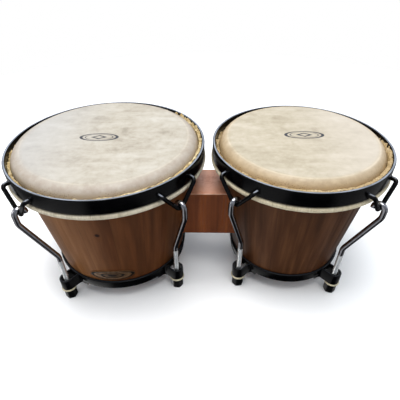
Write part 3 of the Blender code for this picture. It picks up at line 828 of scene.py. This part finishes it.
def ring_mesh(name, drum, finish):
    """Steel band around the foot of the shell, and four strap ears that flow out of it."""
    base = shell_radius(drum, RING_BASE) + GAP
    top = shell_radius(drum, RING_TOP) + GAP
    corners = [(base, RING_BASE), (base + RING_THICKNESS, RING_BASE),
               (top + RING_THICKNESS, RING_TOP), (top, RING_TOP)]
    shape = bmesh.new()
    lathe(shape, rounded_outline(corners, [0.0005, 0.0009, 0.0009, 0.0005], 4), 192)
    middle = base + RING_THICKNESS + ROD_OFFSET
    bend = EAR_RADIUS - EAR_THICKNESS / 2
    band = base + RING_THICKNESS * 0.62
    start = math.radians(13)
    elbow = math.sqrt(band ** 2 - bend ** 2)
    corners = [polar(band, -start), (elbow, -bend, 0), (middle, -bend, 0)]
    leg = rounded_path(corners, [0.0045], 8)
    arc = [Vector((middle + bend * math.cos(angle), bend * math.sin(angle), 0))
           for angle in whole_degrees(-80, 81, 10)]
    path = leg + arc + [Vector((point.x, -point.y, 0)) for point in reversed(leg)]
    for lug in LUGS.values():
        spin = Matrix.Rotation(lug + drum["ear_turn"], 3, "Z")
        strap(shape, [spin @ point for point in path], EAR_BASE, EAR_TOP, EAR_THICKNESS)
    return to_mesh(name, shape, [finish])


def washer_mesh(name, radius, bore, thickness, finish):
    """Round washer with rolled edges, its top at height 0."""
    corners = [(bore, -thickness), (radius, -thickness), (radius, 0), (bore, 0)]
    shape = bmesh.new()
    lathe(shape, rounded_outline(corners, [0.0002, thickness * 0.4, thickness * 0.4, 0.0002], 4), 64)
    return to_mesh(name, shape, [finish], 50)


def nut_mesh(name, across_flats, bore, height, finish):
    """Hex nut on Z, from height 0 up, with a turned chamfer around both faces."""
    half = across_flats / 2
    shape = bmesh.new()
    angles = turns(96)
    sixth = math.pi / 3
    chamfer = half * 0.16
    levels = [0, 0.2, 0.4, 0.6, 0.8, 1.0]
    heights = [chamfer * share for share in levels] + [height - chamfer * share for share in reversed(levels)]
    rings = []
    for level in heights:
        turned_reach = half * 0.97 + min(level, height - level) * 1.75
        ring = []
        for angle in angles:
            sector = (angle + math.pi / 6) % sixth - math.pi / 6
            reach = min(half / math.cos(sector), half * 1.135, turned_reach)
            ring.append(shape.verts.new(polar(reach, angle, level)))
        rings.append(ring)
    for level, lip in ((height, NUT_LIP), (height - NUT_LIP, 0.0), (NUT_LIP, 0.0), (0, NUT_LIP)):
        rings.append([shape.verts.new(polar(bore + lip, angle, level)) for angle in angles])
    bridge(shape, rings + rings[:1])
    return to_mesh(name, shape, [finish], 24)


def bolt_mesh(name, head_seat, end, finish):
    """Round-headed bolt along X, its head at the low end and a rolled thread at the other."""
    dome = [(BOLT_HEAD_RADIUS * math.sin(angle), head_seat - BOLT_HEAD_HEIGHT * math.cos(angle))
            for angle in whole_degrees(8, 91, 8)]
    thread_start = end - BOLT_THREAD
    rings = [(0.0005, head_seat - BOLT_HEAD_HEIGHT)] + dome
    rings += [(BOLT_HEAD_RADIUS, head_seat), (BOLT_RADIUS, head_seat), (BOLT_RADIUS, thread_start)]
    for step in range(1, int((end - thread_start) / BOLT_THREAD_STEP)):
        groove = 0.00035 * (step % 4 > 1)
        rings.append((BOLT_RADIUS - groove, thread_start + step * BOLT_THREAD_STEP))
    rings.append((BOLT_RADIUS - 0.0008, end))
    path = [Vector((along, 0, 0)) for _, along in rings]
    shape = bmesh.new()
    tube(shape, path, lambda index, angle: rings[index][0], 28)
    return to_mesh(name, shape, [finish], 35)


def block_mesh(name, finish):
    """Centre block: a box with softened long edges, hollowed at both ends to sit on the shells."""
    large, small = DRUMS["large"], DRUMS["small"]
    half = BLOCK_DEPTH / 2
    middle = (BLOCK_BASE + BLOCK_TOP) / 2
    corners = [(-half, BLOCK_BASE), (half, BLOCK_BASE), (half, BLOCK_TOP), (-half, BLOCK_TOP)]
    soft = rounded_outline(corners, [0.0016] * 4, 4)
    outline = []
    for (y, z), (next_y, next_z) in zip(soft, soft[1:] + soft[:1]):
        steps = max(1, int(math.hypot(next_y - y, next_z - z) / 0.004))
        outline += [(y + (next_y - y) * step / steps, z + (next_z - z) * step / steps)
                    for step in range(steps)]
    shape = bmesh.new()

    def ends(y, z):
        low = large["x"] + math.sqrt((shell_radius(large, z) + GAP) ** 2 - y ** 2)
        high = small["x"] - math.sqrt((shell_radius(small, z) + GAP) ** 2 - y ** 2)
        return low, high

    def face_ring(share, end):
        """Ring on an end face, drawn in to a share of its outline."""
        ring = [(y * share, middle + (z - middle) * share) for y, z in outline]
        return [shape.verts.new((ends(y, z)[end], y, z)) for y, z in ring]

    rings = [face_ring(share, 0) for share in (0.0, 0.35, 0.7)]
    for share in [step / 12 for step in range(13)]:
        ring = []
        for y, z in outline:
            low, high = ends(y, z)
            ring.append(shape.verts.new((low + (high - low) * share, y, z)))
        rings.append(ring)
    rings += [face_ring(share, 1) for share in (0.7, 0.35, 0.0)]
    bridge(shape, rings)
    bmesh.ops.remove_doubles(shape, verts=shape.verts, dist=1e-7)
    return to_mesh(name, shape, [finish], 30)


def badge_mesh(name, drum, finish):
    """Oval badge curved around the shell: a raised border, a sunk field and a plain raised oval."""
    shape = bmesh.new()
    directions_around = turns(96)

    def relief(share):
        for (low, start), (high, end) in zip(BADGE_RELIEF, BADGE_RELIEF[1:]):
            if share <= high:
                return start + (end - start) * (share - low) / (high - low)
        return BADGE_RELIEF[-1][1]

    def point(share, direction, lift):
        angle = BADGE_ANGLE + BADGE_HALF_ANGLE * share * math.cos(direction)
        height = BADGE_MIDDLE + BADGE_HALF_HEIGHT * share * math.sin(direction)
        radius = shell_radius(drum, height) + GAP + lift
        return shape.verts.new(polar(radius, angle, height))

    rings = [[point(0.0, 0.0, relief(0.0))] * 96]
    for share in [step / 50 for step in range(1, 51)]:
        rings.append([point(share, direction, relief(share)) for direction in directions_around])
    for share in (1.0, 0.6):
        rings.append([point(share, direction, 0.0) for direction in directions_around])
    rings.append([point(0.0, 0.0, 0.0)] * 96)
    bridge(shape, rings)
    return to_mesh(name, shape, [finish], 50)


# ---------------------------------------------------------------- the pieces

def build_drum(size, drum, finishes):
    """One drum's pieces, each in place of its CAD node and riding on its body."""
    axis = (drum["x"], 0, 0)
    hoop_body = f"{size}_counterhoop"

    def add_round(kind, build, finish, body, nodes):
        name = f"{size}_{kind}"
        stood_for = [f"{size}_{node}" for node in nodes]
        add_piece(name, build(name, drum, finish), body, stood_for, axis)

    wood = [finishes[f"{size}_staves"], finishes["bare_wood"]]
    skin, wrap, trim = [finishes[f"{size}_{kind}"] for kind in ("rawhide", "wrap", "trim")]
    add_round("staves", shell_mesh, wood, "drum_pair", ["shell"])
    add_round("skin", head_mesh, skin, "drum_pair", ["head"])
    add_round("wrapped_hoop", hoop_mesh, wrap, hoop_body, ["flesh_hoop"])
    add_round("trimmed_skin", collar_mesh, trim, hoop_body, [])
    add_round("rim_band", rim_mesh, finishes["black_rim"], hoop_body, ["rim"])
    add_round("foot_ring", ring_mesh, finishes["black_ring"], "drum_pair", ["bottom_ring"])

    washer_top = EAR_BASE - GAP
    nut_height = washer_top - WASHER_THICKNESS - GAP
    rod = rod_mesh(f"{size}_tuning_rod", drum, [finishes["chrome"], finishes["thread"]])
    washer = washer_mesh(f"{size}_saddle_washer", WASHER_RADIUS, TUNING_ROD + 0.0004, WASHER_THICKNESS,
                         finishes["washer"])
    nut = nut_mesh(f"{size}_tuning_nut", NUT_ACROSS_FLATS, TUNING_ROD + GAP, nut_height,
                   finishes["black_nut"])
    reach = drum["shell_foot"] + RING_THICKNESS + GAP + ROD_OFFSET
    for place, lug in LUGS.items():
        ear = lug + drum["ear_turn"]
        foot = Vector((drum["x"] + reach * math.cos(ear), reach * math.sin(ear), 0))
        add_piece(f"{size}_tuning_rod_{place}", rod, hoop_body, [f"{size}_rod_{place}"], axis,
                  (0, 0, lug + drum["loop_turn"]))
        add_piece(f"{size}_saddle_washer_{place}", washer, "drum_pair", [f"{size}_washer_{place}"],
                  foot + Vector((0, 0, washer_top)), (0, 0, ear))
        add_piece(f"{size}_tuning_nut_{place}", nut, f"{size}_nut_{place}", [f"{size}_nut_{place}"],
                  foot, (0, 0, ear))


def build_bridge(finishes):
    """Centre block, and the bolts, washers and nuts that clamp both shells to it."""
    block = block_mesh("bridge_block", finishes["block_wood"])
    add_piece("bridge_block", block, "drum_pair", ["centre_block"], (0, 0, 0))
    for size in DRUMS:
        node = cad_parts[f"{size}_backing_plate"]
        node.data.materials.clear()
        node.data.materials.append(finishes["plate_wood"])
    large_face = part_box("large_backing_plate")[0].x
    small_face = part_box("small_backing_plate")[1].x
    head_seat = large_face - 2 * GAP - BOLT_WASHER_THICKNESS
    nut_seat = small_face + 2 * GAP + BOLT_WASHER_THICKNESS
    zinc = finishes["zinc"]
    bore = BOLT_RADIUS + GAP
    bolt = bolt_mesh("bridge_bolt", head_seat, nut_seat + BOLT_NUT_HEIGHT + BOLT_END, zinc)
    washer = washer_mesh("bolt_washer", BOLT_WASHER_RADIUS, bore, BOLT_WASHER_THICKNESS, zinc)
    nut = nut_mesh("bolt_nut", BOLT_NUT_ACROSS_FLATS, bore, BOLT_NUT_HEIGHT, zinc)
    for place, height in BOLT_HEIGHTS.items():
        add_piece(f"long_bolt_{place}", bolt, "drum_pair", [f"bridge_bolt_{place}"],
                  (0, 0, height))
        for size, face, lift in (("large", large_face - GAP, 1), ("small", small_face + GAP, -1)):
            add_piece(f"{size}_plate_washer_{place}", washer, "drum_pair", [f"{size}_bolt_washer_{place}"],
                      (face, 0, height), (0, lift * math.pi / 2, 0))
        add_piece(f"plate_nut_{place}", nut, "drum_pair", [f"bolt_nut_{place}"],
                  (nut_seat + BOLT_NUT_HEIGHT + GAP, 0, height), (0, -math.pi / 2, 0))


# ---------------------------------------------------------------- stage

def area_light(name, location, size, power, tint):
    """A soft rectangular studio light."""
    data = bpy.data.lights.new(name, "AREA")
    data.shape = "RECTANGLE"
    data.size, data.size_y = size
    data.energy = power
    data.color = tint
    aim = Vector(LIGHT_TARGET) - Vector(location)
    put(name, data, location, aim.to_track_quat("-Z", "Y").to_euler())


def build_floor():
    """Round pale floor that mirrors don't see."""
    mat = Finish("floor", Specular_IOR_Level=0.1, Roughness=0.9)
    tone = mat.noise(mat.place, scale=3.0, detail=3.0)
    shape = bmesh.new()
    bmesh.ops.create_circle(shape, cap_ends=True, segments=96, radius=FLOOR_RADIUS)
    mesh = to_mesh("floor", shape, [mat.finish(mat.shades(tone, (0.4, "fafafa"), (0.6, "fcfcfc")))])
    floor = put("floor", mesh)
    floor.visible_glossy = False


def build_surroundings():
    """White behind the drums, and for everything but the camera a pale sky with side panels."""
    world = bpy.data.worlds.new("studio")
    world.use_nodes = True
    mat = Nodes(world.node_tree)
    direction = mat.parts(mat.add("ShaderNodeTexCoord").outputs["Generated"])

    def grade(value, low, high):
        inputs = {"Value": value, "From Min": low, "From Max": high}
        return mat.add("ShaderNodeMapRange", inputs).outputs[0]

    height = grade(direction["Z"], -0.6, 0.8)
    sky = mat.mix(height, (0.012, 0.013, 0.016, 1.0), (0.80, 0.86, 0.94, 1.0))
    levels = ((0.08, 0.10), (0.14, 0.85), (0.32, 0.95), (0.40, 0.0), (0.72, 0.0), (0.80, 0.45))
    stops = [(position, (level, level, level, 1.0)) for position, level in levels]
    panels = mat.ramp(grade(direction["X"], -1.0, 1.0), *stops)
    lit = mat.mix(grade(direction["Z"], 0.05, -0.10), sky, panels, "ADD")
    around = mat.add("ShaderNodeBackground", {"Color": lit, "Strength": 0.68}).outputs[0]
    seen = mat.tree.nodes["Background"]
    seen.inputs["Color"].default_value = (1.0, 1.0, 1.0, 1.0)
    camera_ray = mat.add("ShaderNodeLightPath").outputs["Is Camera Ray"]
    choose = mat.add("ShaderNodeMixShader", {0: camera_ray, 1: around, 2: seen.outputs[0]})
    mat.feed(mat.tree.nodes["World Output"].inputs["Surface"], choose.outputs[0])
    bpy.context.scene.world = world


def build_camera():
    """Camera at the photograph's angle."""
    data = bpy.data.cameras.new("camera")
    data.lens = 32.0414
    data.sensor_width = 36.0
    data.shift_x = 0.01633
    data.shift_y = 0.01078
    turn = [math.radians(angle) for angle in (51.3259, 0.8092, 1.5703)]
    bpy.context.scene.camera = put("camera", data, (0.00828, -0.3496, 0.36527), turn)
    bpy.context.scene.view_settings.view_transform = "Standard"


def build_finishes():
    """Every material, by name."""
    plans = {
        # Staves: the lit and the shaded ramp of the painted light and shade, stave count, seed, angle of the
        # painted lit side, spread of the figure, and for the large drum a knot.
        "large_staves": (stave_wood, ("654325", "7e532e", "93653d"), ("3c200c", "4f2b12", "63391b"),
                         18, 4.0, math.radians(-147), 0.23, (math.radians(-89.5), 0.118)),
        "small_staves": (stave_wood, ("38200f", "4a2b16", "5d3b22"), ("2b180a", "39200f", "492c17"),
                         16, 9.0, math.radians(-105), 0.175),
        "bare_wood": (bare_wood, "6e4a2e", "8c6340", "a57c55"),
        "plate_wood": (bare_wood, "6a4127", "855636", "9c6c48"),
        "block_wood": (block_wood,),
        # For the heads: the second group is the side painted in cooler light with its X distances, and the
        # number after the softness is the strength of the painted crease highlight.
        "large_rawhide": (rawhide, DRUMS["large"], ("8d8577", "a29a8c", "aca598", "b7b2a8"),
                          ("a8a7a7", 0.01, -0.09), ("9b8e80", "a99f93"), "948062", 0.0052, 0.14,
                          (-0.0074, -0.0010)),
        "small_rawhide": (rawhide, DRUMS["small"], ("968b77", "a59b87", "afa592", "bbb2a2"),
                          ("bdb4a9", -0.02, 0.08), ("a38e70", "b6a182"), "97794b", 0.0040, 0.20,
                          (0.0040, 0.0045)),
        "large_wrap": (wrapped_hide, ("9c917a", "bab09a", "d0c8b5"), "5f5139", 0.2),
        "small_wrap": (wrapped_hide, ("9c8f74", "baae92", "cec4ac"), "5f4f34", 0.2),
        "large_trim": (wrapped_hide, ("806639", "b09868", "d6c9a3"), "4e381b", 0.55),
        "small_trim": (wrapped_hide, ("84693f", "a58d64", "bfab86"), "3f2c14", 0.80),
        # The last number of each black is the strength of its painted highlight on up-turned faces.
        "black_rim": (black_paint, "020203", "060607", 0.52),
        "black_ring": (black_paint, "020203", "070708", 0.05),
        "black_nut": (black_paint, "060606", "0f0f0f", 0.0),
        "chrome": (plated, ("8a898e", "a9a8ad"), (0.05, 0.12), 1.0),
        "thread": (plated, ("cfcfcd", "ececea"), (0.16, 0.24), 0.70, 0.05, 60.0),
        "washer": (plated, ("c9bd9e", "e2d9bd"), (0.34, 0.48), 0.55),
        "zinc": (plated, ("b3a988", "cdc5a8"), (0.28, 0.42), 0.9),
        "badge_metal": (badge_metal,),
    }
    return {name: maker(name, *settings) for name, (maker, *settings) in plans.items()}


def main():
    finishes = build_finishes()
    for size, drum in DRUMS.items():
        build_drum(size, drum, finishes)
    build_bridge(finishes)
    large = DRUMS["large"]
    badge = badge_mesh("oval_badge", large, finishes["badge_metal"])
    add_piece("oval_badge", badge, "drum_pair", ["badge"], (large["x"], 0, 0))
    build_floor()
    build_surroundings()
    for name, settings in LIGHTS.items():
        area_light(name, *settings)
    build_camera()


main()
